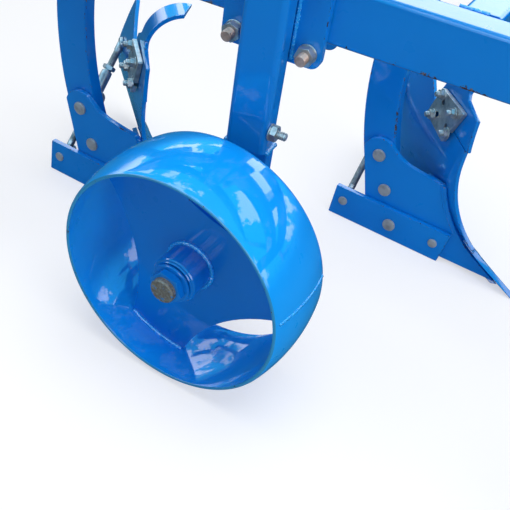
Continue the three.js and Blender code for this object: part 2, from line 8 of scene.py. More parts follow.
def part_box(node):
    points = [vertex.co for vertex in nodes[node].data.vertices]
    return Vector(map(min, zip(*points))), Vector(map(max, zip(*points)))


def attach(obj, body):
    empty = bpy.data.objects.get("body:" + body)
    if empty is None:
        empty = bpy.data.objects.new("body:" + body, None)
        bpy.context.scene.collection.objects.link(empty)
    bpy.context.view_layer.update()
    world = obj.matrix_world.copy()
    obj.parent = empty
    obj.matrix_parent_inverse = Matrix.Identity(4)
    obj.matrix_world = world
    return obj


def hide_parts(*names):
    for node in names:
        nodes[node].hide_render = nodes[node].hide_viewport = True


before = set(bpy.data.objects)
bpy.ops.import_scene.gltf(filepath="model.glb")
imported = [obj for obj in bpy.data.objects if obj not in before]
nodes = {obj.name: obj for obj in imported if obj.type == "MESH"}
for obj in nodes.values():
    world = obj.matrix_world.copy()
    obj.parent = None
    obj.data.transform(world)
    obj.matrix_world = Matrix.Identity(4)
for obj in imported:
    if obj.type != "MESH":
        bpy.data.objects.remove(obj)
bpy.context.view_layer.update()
mm = 0.001  # sizes below are in millimetres unless a note says otherwise
dice = random.Random(7)


# selecting and finishing a mesh

def selectNothing():
    bpy.ops.object.select_all(action="DESELECT")


def selectMesh():  # all of it, in edit mode
    bpy.ops.mesh.select_all(action="SELECT")


def pick(piece):  # only this piece is selected and active
    selectNothing()
    piece.select_set(True)
    bpy.context.view_layer.objects.active = piece


def editAll(piece):
    pick(piece)
    bpy.ops.object.mode_set(mode="EDIT")
    selectMesh()


def leaveEdit():
    bpy.ops.object.mode_set(mode="OBJECT")


def faceOutwards():  # and leave edit mode
    selectMesh()
    bpy.ops.mesh.normals_make_consistent(inside=False)
    leaveEdit()


def chain(points):  # one vertex extruded from point to point, in metres; stays in edit mode
    selectNothing()
    bpy.ops.mesh.primitive_plane_add(size=0.01, location=(0, 0, 0))
    piece = bpy.context.active_object
    bpy.ops.object.mode_set(mode="EDIT")
    selectMesh()
    bpy.ops.mesh.merge(type="CENTER")
    points = [Vector(p) for p in points]
    bpy.ops.transform.translate(value=points[0])
    for before, after in zip(points, points[1:]):
        bpy.ops.mesh.extrude_region_move(TRANSFORM_OT_translate={"value": after - before})
    selectMesh()
    return piece


def lathe(name, profile, steps=48, closed=False):  # (radius, height) pairs spun round Z
    points = [(radius * mm, 0, height * mm) for radius, height in profile]
    if closed:
        points.append(points[0])
    piece = chain(points)
    bpy.ops.mesh.spin(steps=steps, angle=math.tau, center=(0, 0, 0), axis=(0, 0, 1))
    selectMesh()
    bpy.ops.mesh.remove_doubles(threshold=0.00001)
    faceOutwards()
    piece.name = name
    return piece


def plate(name, corners, depth):  # a flat outline and the vector it is extruded by, in metres
    piece = chain(corners)
    bpy.ops.mesh.edge_face_add()
    bpy.ops.mesh.extrude_region_move(TRANSFORM_OT_translate={"value": Vector(depth)})
    faceOutwards()
    piece.name = name
    return piece


def modify(piece, kind, **settings):
    pick(piece)
    bpy.ops.object.modifier_add(type=kind)
    modifier = piece.modifiers[-1]
    for key, value in settings.items():
        setattr(modifier, key, value)
    bpy.ops.object.modifier_apply(modifier=modifier.name)


def smooth(piece, angle=42):
    pick(piece)
    bpy.ops.object.shade_smooth_by_angle(angle=math.radians(angle))
    modify(piece, "WEIGHTED_NORMAL", keep_sharp=True)


edgeSlot = 1  # material slot of the rounded edges


def roundEdges(piece, width, segments=2, angle=32, slot=edgeSlot):
    modify(piece, "BEVEL", width=width * mm, segments=segments, limit_method="ANGLE",
           angle_limit=math.radians(angle), material=slot, miter_outer="MITER_ARC")
    smooth(piece)


def wear(piece, *materials):
    piece.data.materials.clear()
    for material in materials:
        piece.data.materials.append(material)
    return piece


def moved(piece, place):  # the place goes into the mesh
    piece.data.transform(place)
    return piece


def put(template, name, place):  # a copy with its own mesh
    pick(template)
    bpy.ops.object.duplicate(linked=False)
    piece = bpy.context.active_object
    piece.name = name
    piece.data.name = name
    return moved(piece, place)


def joined(name, pieces):
    selectNothing()
    for piece in pieces:
        piece.select_set(True)
    bpy.context.view_layer.objects.active = pieces[0]
    if len(pieces) > 1:
        bpy.ops.object.join()
    pieces[0].name = name
    pieces[0].data.name = name
    return pieces[0]


def discard(*pieces):
    for piece in pieces:
        bpy.data.objects.remove(piece)


def finished(piece, body, slot, *replaced):
    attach(piece, body)
    if replaced:
        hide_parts(*replaced)


def aim(place, direction, turn=0.0):  # a matrix that takes +Z to the direction
    spin = Vector(direction).to_track_quat("Z", "Y").to_matrix().to_4x4()
    return Matrix.Translation(place) @ spin @ Matrix.Rotation(turn, 4, "Z")


def raised(height):  # a matrix that lifts along Z
    return Matrix.Translation((0, 0, height * mm))


# shader maths

class Wire:  # a socket that can stand in an expression
    def __init__(self, shader, socket):
        self.shader = shader
        self.socket = socket

    def __add__(self, other):
        return self.shader.maths("ADD", self, other)

    __radd__ = __add__

    def __mul__(self, other):
        return self.shader.maths("MULTIPLY", self, other)

    __rmul__ = __mul__

    def __sub__(self, other):
        return self.shader.maths("SUBTRACT", self, other)

    def __rsub__(self, other):
        return self.shader.maths("SUBTRACT", other, self)


class Shader:
    def __init__(self, tree):
        self.tree = tree

    def node(self, kind, settings, inputs, output=0):
        made = self.tree.nodes.new(kind)
        for key, value in settings.items():
            setattr(made, key, value)
        for key, value in inputs.items():
            self.feed(made.inputs[key], value)
        return Wire(self, made.outputs[output])

    def feed(self, socket, value):
        if isinstance(value, Wire):
            self.tree.links.new(value.socket, socket)
        else:
            socket.default_value = value

    def maths(self, operation, *values):
        return self.node("ShaderNodeMath", {"operation": operation}, dict(enumerate(values)))

    def mix(self, factor, first, second):
        return self.node("ShaderNodeMix", {"data_type": "RGBA"}, {0: factor, 6: first, 7: second}, 2)

    def step(self, value, low, high):  # 0 below low, 1 above high
        return self.node("ShaderNodeMapRange", {"interpolation_type": "SMOOTHSTEP"},
                         {"Value": value, "From Min": low, "From Max": high})

    def height(self, vector):  # the vector's Z
        return self.node("ShaderNodeSeparateXYZ", {}, {"Vector": vector}, 2)

    def ray(self, kind):  # 1 for a ray of that kind
        return self.node("ShaderNodeLightPath", {}, {}, f"Is {kind} Ray")


class Finish(Shader):  # a material with its pattern in object coordinates
    def __init__(self, name):
        self.material = bpy.data.materials.new(name)
        self.material.use_nodes = True
        super().__init__(self.material.node_tree)
        self.surface = self.tree.nodes["Principled BSDF"]
        self.place = self.node("ShaderNodeTexCoord", {}, {}, "Object")

    def noise(self, scale, detail=3, roughness=0.55):
        return self.node("ShaderNodeTexNoise", {},
                         {"Vector": self.place, "Scale": scale, "Detail": detail, "Roughness": roughness})

    def bump(self, height):  # height in metres
        self.feed(self.surface.inputs["Normal"],
                  self.node("ShaderNodeBump", {}, {"Height": height, "Distance": 1.0, "Strength": 1.0}))

    def wire(self, values):
        for key, value in values.items():
            self.feed(self.surface.inputs[key], value)


# finishes

frameBlue = {"body": (0.001, 0.215, 0.66, 1), "deep": (0.001, 0.175, 0.58, 1), "pale": (0.006, 0.3, 0.74, 1)}
# the frame's blue made lighter for the wheel barrel and the weld beads: painted light from above
wheelBluePaintedLight = {"body": (0.003, 0.34, 0.90, 1), "deep": (0.002, 0.29, 0.82, 1), "pale": (0.02, 0.46, 0.94, 1)}
# the frame's blue made darker for the spider, hub, axle collar and nut: painted shade
hubBluePaintedShade = {"body": (0.001, 0.185, 0.62, 1), "deep": (0.001, 0.155, 0.54, 1), "pale": (0.006, 0.27, 0.70, 1)}
lipBlue = {"body": (0.03, 0.26, 0.50, 1), "deep": (0.02, 0.21, 0.44, 1), "pale": (0.12, 0.36, 0.56, 1)}
rust = {"dark": (0.018, 0.014, 0.014, 1), "brown": (0.10, 0.052, 0.030, 1), "grey": (0.16, 0.15, 0.14, 1)}
paintedWeldHighlight = (0.62, 0.76, 0.88, 1)
wornTone = {"brown": (0.15, 0.12, 0.085, 1), "grey": (0.24, 0.235, 0.2, 1), "paint": (0.012, 0.16, 0.42, 1)}


# blue enamel that chips to rusty steel; chips gather in patches, and a knocked lower edge, given by its
# height in metres, has lost more of its paint and is darkened with dirt and painted shade
def enamelFinish(name, tone, chipLevel, gatherLevel, ripple=0.00035, knocked=None):
    paint = Finish(name)
    broad = paint.noise(4.5, 2)
    flow = paint.noise(27, 3)
    peel = paint.noise(330, 2)
    colour = paint.mix(paint.step(broad, 0.3, 0.7), tone["deep"], tone["body"])
    dust = paint.step(paint.noise(95, 5, 0.7), 0.52, 0.85) * paint.step(flow, 0.45, 0.75)
    colour = paint.mix(dust * 0.3, colour, tone["pale"])
    gather = paint.step(paint.noise(13, 3), gatherLevel, gatherLevel + 0.16)
    loose = paint.noise(210, 5, 0.62) + gather * 0.12
    if knocked:
        height = paint.height(paint.place)
        knocks = paint.step(paint.noise(34, 3), 0.47, 0.58)
        loose = loose + (1 - paint.step(height, knocked + 0.002, knocked + 0.014)) * (0.08 + knocks * 0.22)
        # the lowest few millimetres turn to rust's dark tone: dirt and a painted shade line under the edge
        lowEdgeGrimeAndShade = (1 - paint.step(height, knocked + 0.001, knocked + 0.0045)) * 0.7
        colour = paint.mix(lowEdgeGrimeAndShade, colour, rust["dark"])
    chip = paint.step(loose, chipLevel, chipLevel + 0.012)
    rim = paint.step(loose, chipLevel - 0.02, chipLevel)
    bare = paint.mix(paint.step(paint.noise(640, 3), 0.35, 0.65), rust["dark"], rust["brown"])
    bare = paint.mix(paint.step(paint.noise(90, 2), 0.5, 0.66), bare, rust["grey"])
    colour = paint.mix(rim * 0.45, colour, tone["pale"])
    colour = paint.mix(chip, colour, bare)
    paint.wire({"Base Color": colour, "Roughness": 0.24 + flow * 0.1 + dust * 0.15 + chip * 0.5,
                "Coat Weight": 1 - chip, "Coat Roughness": 0.02, "Coat IOR": 1.65, "Specular IOR Level": 0.1})
    paint.bump(flow * ripple + peel * 0.00002 + broad * 0.0005 - chip * 0.00025)
    return paint.material


def weldFinish(name):
    paint = Finish(name)
    grit = paint.noise(420, 4, 0.7)
    lump = paint.noise(130, 2)
    # the weld's blue comes from the wheel's lighter copy with its painted light, and its brightest grit
    # specks are painted highlights
    colour = paint.mix(paint.step(grit, 0.45, 0.62), wheelBluePaintedLight["deep"], wheelBluePaintedLight["pale"])
    colour = paint.mix(paint.step(grit, 0.63, 0.68), colour, paintedWeldHighlight)
    paint.wire({"Base Color": colour, "Roughness": 0.18 + lump * 0.15, "Coat Weight": 1.0,
                "Coat Roughness": 0.02, "Coat IOR": 1.8})
    paint.bump(grit * 0.0011 + lump * 0.0012)
    return paint.material


def zincFinish(name, rustLevel, tint, shine=0.7):
    metal = Finish(name)
    blotch = metal.noise(70, 4)
    grain = metal.noise(900, 2)
    shade = [0.6 * c for c in tint[:3]] + [1]
    colour = metal.mix(metal.step(blotch, 0.42, 0.72), tint, shade)
    stain = metal.step(metal.noise(160, 5, 0.65), rustLevel, rustLevel + 0.09)
    colour = metal.mix(stain, colour, rust["brown"])
    metal.wire({"Base Color": colour, "Metallic": shine - stain * 0.7 * shine,
                "Roughness": 0.22 + blotch * 0.22 + stain * 0.35})
    metal.bump(grain * 0.00004 + blotch * 0.00018)
    return metal.material


def wornFinish(name):  # bare steel with patches of paint left on it
    metal = Finish(name)
    patch = metal.step(metal.noise(150, 5, 0.6), 0.58, 0.66)
    shade = metal.noise(300, 4)
    bare = metal.mix(metal.step(shade, 0.35, 0.7), wornTone["brown"], wornTone["grey"])
    colour = metal.mix(patch, bare, wornTone["paint"])
    metal.wire({"Base Color": colour, "Metallic": 0.35 - patch * 0.35, "Roughness": 0.55 - patch * 0.25})
    metal.bump(shade * 0.0003 + patch * 0.0003)
    return metal.material


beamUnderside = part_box("main_beam")[0].z
enamel = enamelFinish("blueEnamel", frameBlue, 0.765, 0.62)
enamelEdge = enamelFinish("blueEnamelEdge", frameBlue, 0.62, 0.50)
enamelBeam = enamelFinish("blueEnamelBeam", frameBlue, 0.765, 0.62, knocked=beamUnderside)
beamEdge = enamelFinish("blueEnamelBeamEdge", frameBlue, 0.575, 0.46)
enamelWheelPaintedLight = enamelFinish("blueEnamelWheelPaintedLight", wheelBluePaintedLight, 0.80, 0.66, 0.00022)
enamelHubPaintedShade = enamelFinish("blueEnamelHubPaintedShade", hubBluePaintedShade, 0.80, 0.66, 0.00022)
rimEdge = enamelFinish("rimEdgeWorn", lipBlue, 0.67, 0.50)
enamelWeld = weldFinish("blueEnamelWeld")
zinc = zincFinish("zincPlating", 0.74, (0.50, 0.48, 0.45, 1))
zincHead = zincFinish("zincHeads", 0.70, (0.40, 0.41, 0.40, 1), 0.25)
rustyZinc = zincFinish("zincRusting", 0.50, (0.44, 0.42, 0.38, 1))
stubEnd = zincFinish("copperyStub", 0.60, (0.56, 0.37, 0.28, 1), 0.4)
wornSteel = wornFinish("wornSteel")
print("finishes made")


# straight steelwork keeps its made shape, with softened, lightly chipped edges

steelwork = {
    "edge": 1.3,
    "beamEdge": 1.7,
    "spiderEdge": 1.0,
    "frame": ["front_cross_member", "rear_cross_member", "headstock_beam", "frame_brace", "lower_link_left",
              "lower_link_right", "mast_left", "mast_right", "mast_stay", "axle_carrier"],
    "eachBody": ["shank_bracket", "landside"],
}


def painted(node, body="plough", width=steelwork["edge"], faces=enamel, edges=enamelEdge):
    piece = bpy.data.objects.new(f"{node}_painted", nodes[node].data.copy())
    bpy.context.scene.collection.objects.link(piece)
    wear(piece, faces, edges)
    editAll(piece)
    bpy.ops.mesh.customdata_custom_splitnormals_clear()
    bpy.ops.mesh.remove_doubles(threshold=0.00002)
    bpy.ops.mesh.dissolve_limited(angle_limit=math.radians(0.5))
    leaveEdit()
    roundEdges(piece, width)
    finished(piece, body, "blue_paint", node)


painted("main_beam", width=steelwork["beamEdge"], faces=enamelBeam, edges=beamEdge)
for node in steelwork["frame"]:
    painted(node)
for side in ("front", "rear"):
    for node in steelwork["eachBody"]:
        painted(f"{side}_{node}")
print("steelwork painted")


# hardware, modelled once and copied: each template stands on z = 0 and rises along +Z

fasteners = {
    "clampNut": {"corner": 13.8, "nut": 12, "washer": 13.6, "thread": 8.0, "end": 12, "tip": stubEnd},
    "clampHead": {"corner": 14.6, "nut": 11, "washer": 14.9},
    "frameNut": {"corner": 15.5, "nut": 12, "washer": 16.5, "thread": 10, "end": 8},
    "frameHead": {"corner": 15.5, "nut": 11, "washer": 16.5},
    "bracketNut": {"corner": 8.6, "nut": 7, "washer": 10, "thread": 5, "end": 7},
    "backNut": {"corner": 11.5, "nut": 9, "washer": 13, "thread": 6.5, "end": 6},
    "legNut": {"corner": 12, "nut": 9, "washer": 12.2, "thread": 5.8, "end": 13},
}
heads = {
    "bigHead": {"radius": 12.0, "height": 4.2},
    "smallHead": {"radius": 8.7, "height": 3.4},
    "flushHead": {"radius": 9.5, "height": 1.4},
}
washerThickness = 2.2


def hexBlock(name, corner, height):  # a hexagon with its corners turned down at both ends
    selectNothing()
    bpy.ops.mesh.primitive_cylinder_add(vertices=6, radius=corner * mm, depth=height * mm,
                                        location=(0, 0, height * mm / 2))
    block = bpy.context.active_object
    bpy.ops.object.transform_apply(location=True, rotation=True, scale=True)
    block.name = name
    flat = corner * 0.84
    drop = (corner - flat) * 0.55
    outer = corner + 0.1
    cone = lathe("cone", [(0, -0.01), (flat, -0.01), (outer, drop), (outer, height - drop),
                          (flat, height + 0.01), (0, height + 0.01)], 36)
    modify(block, "BOOLEAN", operation="INTERSECT", object=cone, solver="EXACT")
    discard(cone)
    return block


def threadedEnd(radius, length, pitch=2.5):  # with a chamfered tip
    profile = [(0, -1), (radius, -1), (radius, 0)]
    for turn in range(int((length - 2) / pitch)):
        start = turn * pitch
        profile += [(radius, start + pitch * 0.15), (radius * 0.88, start + pitch * 0.5),
                    (radius, start + pitch * 0.85)]
    profile += [(radius, length - 1.5), (radius - 1.5, length), (0, length)]
    return lathe("stub", profile, 22)


def washer(radius):
    edge = 0.5
    return lathe("washer", [(0, 0), (radius - edge, 0), (radius, edge), (radius, washerThickness - edge),
                            (radius - edge, washerThickness), (0, washerThickness)], 32)


def roundHead(name, radius, height, finish=zincHead):
    profile = [(0, 0), (radius - 0.3, 0), (radius, 0.6), (radius, height * 0.55),
               (radius * 0.96, height * 0.8), (radius * 0.86, height * 0.96), (radius * 0.6, height),
               (0, height)]
    head = wear(lathe(name, profile, 36), finish)
    smooth(head, 30)
    return head


def fastener(name, sizes):  # washer and nut, with a threaded end where one comes through
    nut = sizes["nut"]
    parts = [wear(washer(sizes["washer"]), zinc)]
    parts.append(wear(moved(hexBlock("nut", sizes["corner"], nut), raised(washerThickness)), zinc))
    if "thread" in sizes:
        end = threadedEnd(sizes["thread"], sizes["end"])
        parts.append(wear(moved(end, raised(washerThickness + nut)), sizes.get("tip", zinc)))
    for part in parts:
        smooth(part, 30)
    return joined(name, parts)


kit = {name: fastener(name, sizes) for name, sizes in fasteners.items()}
for name, sizes in heads.items():
    kit[name] = roundHead(name, **sizes)
nearSide = (0, -1, 0)  # which way a fastener points
farSide = (0, 1, 0)


def fit(name, place):
    return put(kit[name], name, place)


print("hardware made")


# gauge wheel: its turned pieces are made along Z and laid on the axle, with +Z to the open side

rimLow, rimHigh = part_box("wheel_rim")
wheelMiddle = (rimLow + rimHigh) / 2
onAxle = Matrix.Translation(wheelMiddle) @ Matrix.Rotation(math.radians(90), 4, "X")

barrel = {"radius": 181.0, "edgeRadius": 172.5, "width": 131.0, "sheet": 5.0, "lip": 1.4, "rings": 24,
          "steps": 160}
hubTube = {"radius": 35.0, "bore": 17.3}
axleEnd = {"bore": 17.3, "collar": 30.0, "collarThickness": 4.2, "nutCorner": 26, "nutHeight": 12,
           "nutTurn": 0.35, "spindle": 18.6}


def alongAxle(y):  # a place's Y, in metres, as a height on the axle
    return (wheelMiddle.y - y) / mm


def barrelRadius(offset):  # outer radius at a distance from the middle
    rise = barrel["radius"] - barrel["edgeRadius"]
    crown = ((barrel["width"] / 2) ** 2 + rise ** 2) / (2 * rise)
    return barrel["radius"] - crown + math.sqrt(crown ** 2 - offset ** 2)


def makeBarrel():
    half = barrel["width"] / 2
    lip = barrel["lip"]
    edge = barrelRadius(half)
    inside = edge - barrel["sheet"]
    cuts = [barrel["width"] * (i / barrel["rings"] - 0.5) for i in range(1, barrel["rings"])]
    outer = [(barrelRadius(cut), cut) for cut in cuts]
    inner = [(radius - barrel["sheet"], cut) for radius, cut in reversed(outer)]
    highLip = [(edge - 0.2, half - lip), (edge - lip, half), (inside + lip, half), (inside, half - lip)]
    lowLip = [(radius, -cut) for radius, cut in reversed(highLip)]
    rim = lathe("gauge_wheel_barrel", outer + highLip + inner + lowLip, barrel["steps"], closed=True)
    wear(rim, enamelWheelPaintedLight, rimEdge)
    for face in rim.data.polygons:
        if abs(face.center.z) > (half - lip * 0.9) * mm:
            face.material_index = edgeSlot
    smooth(rim, 60)
    finished(moved(rim, onAxle), "gauge_wheel", "blue_paint", "wheel_rim")


def makeHub():
    low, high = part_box("wheel_hub")
    front = alongAxle(low.y)
    back = alongAxle(high.y)
    radius = hubTube["radius"]
    bore = hubTube["bore"]
    hub = lathe("gauge_wheel_hub", [
        (bore, front), (radius - 5, front), (radius - 4, front - 1.5), (radius - 1.2, front - 2.2),
        (radius, front - 4), (radius, back + 2), (radius - 2, back), (bore, back),
    ], 72, closed=True)
    wear(hub, enamelHubPaintedShade)
    smooth(hub, 30)
    finished(moved(hub, onAxle), "gauge_wheel", "blue_paint", "wheel_hub")


def makeAxleEnd():  # collar, nut and the bare end of the spindle
    start = alongAxle(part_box("axle_nut")[1].y)
    tip = alongAxle(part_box("axle_carrier")[0].y)
    top = start + axleEnd["collarThickness"]
    bore = axleEnd["bore"]
    rim = axleEnd["collar"]
    reach = axleEnd["spindle"]
    collar = lathe("collar", [(bore, start), (rim - 1.5, start), (rim, start + 1.2), (rim, start + 3.4),
                              (rim - 1.2, top), (bore, top)], 56, closed=True)
    nut = hexBlock("nut", axleEnd["nutCorner"], axleEnd["nutHeight"])
    moved(nut, raised(top) @ Matrix.Rotation(axleEnd["nutTurn"], 4, "Z"))
    spindle = lathe("spindle", [(0, start + 15), (reach, start + 15), (reach, tip - 1.6),
                                (reach - 1.7, tip + 0.3), (0, tip + 0.3)], 40)
    for part, finish in ((collar, enamelHubPaintedShade), (nut, enamelHubPaintedShade), (spindle, wornSteel)):
        wear(part, finish)
        smooth(part, 30)
    end = joined("axle_nut_and_end", [collar, nut, spindle])
    finished(moved(end, onAxle), "plough", "worn_steel", "axle_nut")


makeBarrel()
painted("wheel_spider", "gauge_wheel", steelwork["spiderEdge"], enamelHubPaintedShade)
makeHub()
makeAxleEnd()
print("gauge wheel made")


# weld beads

def bead(path, radius):  # a rippled run of weld along a path of points in metres
    run = chain(path)
    leaveEdit()
    pick(run)
    bpy.ops.object.convert(target="CURVE")
    run = bpy.context.active_object
    run.data.bevel_depth = radius * mm
    run.data.bevel_resolution = 2
    run.data.use_fill_caps = True
    for spline in run.data.splines:
        for i, point in enumerate(spline.points):
            point.radius = 1 + 0.2 * (i % 2) + dice.uniform(-0.2, 0.2)
    pick(run)
    bpy.ops.object.convert(target="MESH")
    run = bpy.context.active_object
    editAll(run)
    bpy.ops.mesh.remove_doubles(threshold=0.00001)
    faceOutwards()
    pick(run)
    bpy.ops.object.shade_smooth()
    return wear(run, enamelWeld)


rippleSpacing = 2.6


def straight(start, end):
    start, end = Vector(start), Vector(end)
    count = max(4, round((end - start).length / (rippleSpacing * mm)))
    return [start.lerp(end, i / count) for i in range(count + 1)]


def arc(radius, depth, first, last):  # round the wheel's axle; depth is towards the open side
    count = max(6, round(abs(last - first) * radius / rippleSpacing))
    angles = [first + (last - first) * i / count for i in range(count + 1)]
    return [wheelMiddle + Vector((radius * math.cos(a), -depth, radius * math.sin(a))) * mm for a in angles]


wheelWelds = {
    "hub": 3.4,  # bead radii
    "arm": 2.6,
    "seam": 2.7,
    "armAngles": [14, 134, 254],
    "armHalf": math.radians(16.2),
    "seamAngle": math.radians(12),
    "seamPoints": 52,
    "seamShort": 15.0,  # how much shorter than the barrel's width
}


def weldWheel():
    spiderFace = alongAxle(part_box("wheel_spider")[0].y)
    runs = [bead(arc(hubTube["radius"] + 1.5, spiderFace + 1, 0, math.tau), wheelWelds["hub"])]
    inside = barrelRadius(0) - barrel["sheet"]
    half = wheelWelds["armHalf"]
    for angle in wheelWelds["armAngles"]:
        middle = math.radians(angle)
        runs.append(bead(arc(inside - 2, spiderFace + 1, middle - half, middle + half), wheelWelds["arm"]))
    seam = wheelWelds["seamAngle"]
    path = []
    for i in range(wheelWelds["seamPoints"]):  # across the barrel, where its strip was closed
        offset = (i / (wheelWelds["seamPoints"] - 1) - 0.5) * (barrel["width"] - wheelWelds["seamShort"])
        reach = barrelRadius(offset) - 1.5
        path.append(wheelMiddle + Vector((reach * math.cos(seam), offset, reach * math.sin(seam))) * mm)
    runs.append(bead(path, wheelWelds["seam"]))
    finished(joined("gauge_wheel_welds", runs), "gauge_wheel", "blue_paint")


weldWheel()
print("wheel welds made")


# working surface of a body, in mm from the front body's rear landside bolt

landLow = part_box("front_landside")[0]
landReach = 24.0  # the bar's heel lies this far behind that bolt
bodyZero = Vector((landLow.x + landReach * mm, landLow.y, 0))
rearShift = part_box("rear_landside")[0] - landLow

surface = {
    "shinX": 189.5, "shinZ": 210.0, "lowerRadius": 190.0, "upperRadius": 600.0,
    "slope": math.radians(30),  # the share's, above the ground
    "angle": math.radians(42),  # between the surface and the furrow wall
    "twist": math.radians(8), "twistHeight": 352.0,
    "shareTwist": math.radians(9), "shareTwistHeight": 100.0,
}


def bodyPoint(x, y, z):
    return bodyZero + Vector((x, y, z)) * mm


def shinAt(z):  # where the surface's leading edge stands at a height
    bend = surface["shinZ"] - z
    radius = surface["lowerRadius"]
    limit = radius * math.cos(surface["slope"])
    if bend <= 0:
        upper = surface["upperRadius"]
        return surface["shinX"] + upper - math.sqrt(upper ** 2 - bend ** 2)
    if bend <= limit:
        return surface["shinX"] + radius - math.sqrt(radius ** 2 - bend ** 2)
    start = surface["shinX"] + radius * (1 - math.sin(surface["slope"]))
    return start + (bend - limit) / math.tan(surface["slope"])


def surfaceX(y, z):
    turn = surface["twist"] * math.copysign(1, z) * (z / surface["twistHeight"]) ** 2
    turn -= surface["shareTwist"] * max(0, 1 - z / surface["shareTwistHeight"]) ** 2
    return shinAt(z) - y / math.tan(surface["angle"] + turn)


def surfaceNormal(y, z):
    step = 0.5
    across = Vector((surfaceX(y + step, z) - surfaceX(y - step, z), 2 * step, 0))
    upward = Vector((surfaceX(y, z + step) - surfaceX(y, z - step), 0, 2 * step))
    return across.cross(upward).normalized()


def onSurface(y, z, depth=0.0):  # depth is measured to the back
    return Vector((surfaceX(y, z), y, z)) - surfaceNormal(y, z) * depth


def facing(y, z, depth):  # +Z of a template to the back of the board, +Y up it
    back = -surfaceNormal(y, z)
    upward = (onSurface(y, z + 1) - onSurface(y, z - 1)).normalized()
    side = upward.cross(back).normalized()
    turn = Matrix((side, back.cross(side), back)).transposed().to_4x4()
    return Matrix.Translation(bodyZero + onSurface(y, z, depth) * mm) @ turn


sheetEdge = 0.8
groundGap = 0.3  # sheets end this high above the ground


def sheetPiece(name, sizes, shape=onSurface):  # a flat sheet, cut into cells and bent to a shape
    outline = sizes["outline"]
    cell = sizes["cell"]
    piece = plate(name, [(0, y * mm, z * mm) for y, z in outline], (-sizes["thickness"] * mm, 0, 0))
    wear(piece, enamel, enamelEdge)
    modify(piece, "BEVEL", width=sheetEdge * mm, segments=2, limit_method="ANGLE",
           angle_limit=math.radians(40), material=edgeSlot)
    editAll(piece)
    for axis, normal in ((0, (0, 1, 0)), (1, (0, 0, 1))):  # cells are cut while it is still flat
        spots = [point[axis] for point in outline]
        for i in range(1, int((max(spots) - min(spots)) / cell) + 1):
            level = (min(spots) + cell * i) * mm
            selectMesh()
            bpy.ops.mesh.bisect(plane_co=[c * level for c in normal], plane_no=normal)
    leaveEdit()
    for vertex in piece.data.vertices:
        depth, y, z = vertex.co / mm
        vertex.co = bodyZero + shape(y, z, -depth) * mm
    editAll(piece)
    bpy.ops.mesh.bisect(plane_co=(0, 0, groundGap * mm), plane_no=(0, 0, 1), use_fill=True, clear_inner=True)
    faceOutwards()
    smooth(piece)
    return piece


# sheets, frog and shank of a body; outlines are (y, z) on the working surface

board = {
    "outline": [(0, 62.4), (242, 62.4), (248, 84), (209, 185), (190, 245), (178, 298), (176, 304),
                (171, 306), (165, 302), (143, 283), (122, 264), (104, 248), (0, 239)],
    "thickness": 6.9,
    "cell": 6.1,
}
blade = {"outline": [(-2, 0), (222, 0), (242, 62), (-2, 62)], "thickness": 8.9, "cell": 6.1}
insert = {
    "outline": [(-5, 240), (104, 249), (100, 290), (91, 297), (84, 304), (82, 312), (82, 402), (47, 386),
                (47, 312), (42, 303), (23, 298), (5, 294)],
    "thickness": 6.9,
    "cell": 4.1,
    "bend": 306.0,  # above this height its tongue curls forward
    "radius": 60.0,
}
frog = {
    "face": 10.3,  # behind the landside's face
    "thickness": 10.0, "foot": 4.0, "heel": 50.0,
    "eye": (41.5, 155.6),  # x and z of the upper bolt
    "eyeRadius": 33.0,
    "top": [(80, 165.5), (101, 158.5), (121, 155.3), (138, 153), (157, 151.5)],
    "front": {"y": 15, "high": 150, "step": 9.6, "count": 15, "clearance": 14.0},
}
strip = {"outline": [(20.7, 7), (66, 7), (66, 134), (20.7, 156)], "thickness": 8.0, "cell": 6.1, "front": 9.6}
bar = {"radius": 560.0, "width": 62.0, "thickness": 25.0, "throatX": 45.0, "throatZ": 317.0, "steps": 36,
       "rounding": 3.0}
barFace = (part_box("front_shank")[0].y - bodyZero.y) / mm


def curledPoint(y, run, depth):  # as onSurface, with the insert's tongue curled round
    bend = insert["bend"]
    radius = insert["radius"]
    if run <= bend:
        return onSurface(y, run, depth)
    normal = surfaceNormal(y, bend)
    lean = math.asin(-normal.z)
    turn = lean + (run - bend) / radius
    outer = radius + depth
    ahead = Vector((normal.x, normal.y, 0)).normalized()
    return (onSurface(y, bend) + ahead * (radius * math.cos(lean) - outer * math.cos(turn))
            + Vector((0, 0, outer * math.sin(turn) - radius * math.sin(lean))))


def behindSheets(y, z, depth):
    return onSurface(y, z, depth + strip["front"])


def makeFrog():  # an upright web and the strip that carries the sheets
    eyeX, eyeZ = frog["eye"]
    front = frog["front"]
    outline = [(frog["heel"], frog["foot"])]
    for i in range(11):  # round the upper bolt, from behind to above it
        a = math.pi * (0.93 - 0.06 * i)
        outline.append((eyeX + frog["eyeRadius"] * math.cos(a), eyeZ + frog["eyeRadius"] * math.sin(a)))
    outline += frog["top"]
    for i in range(front["count"]):  # down behind the board
        spot = onSurface(front["y"], front["high"] - front["step"] * i, front["clearance"])
        outline.append((spot.x, max(spot.z, frog["foot"])))
    web = plate("web", [bodyPoint(x, frog["face"], z) for x, z in outline], (0, frog["thickness"] * mm, 0))
    wear(web, enamel, enamelEdge)
    roundEdges(web, steelwork["edge"])
    return joined("front_frog_plate", [web, sheetPiece("strip", strip, behindSheets)])


def barEdge(radius, z):  # x of one edge of the bent shank at a height
    return bar["throatX"] + bar["radius"] - math.sqrt(radius ** 2 - (z - bar["throatZ"]) ** 2)


def makeShank():
    bottom, top = (corner.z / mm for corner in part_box("front_shank"))
    levels = [bottom + (top - bottom) * i / bar["steps"] for i in range(bar["steps"] + 1)]
    outline = [(barEdge(bar["radius"], z), z) for z in levels]
    outline += [(barEdge(bar["radius"] + bar["width"], z), z) for z in reversed(levels)]
    shank = plate("front_shank_bar", [bodyPoint(x, barFace, z) for x, z in outline],
                  (0, bar["thickness"] * mm, 0))
    wear(shank, enamel, enamelEdge)
    roundEdges(shank, bar["rounding"], 3, 40)
    return shank


# slotted plate behind the board and the insert

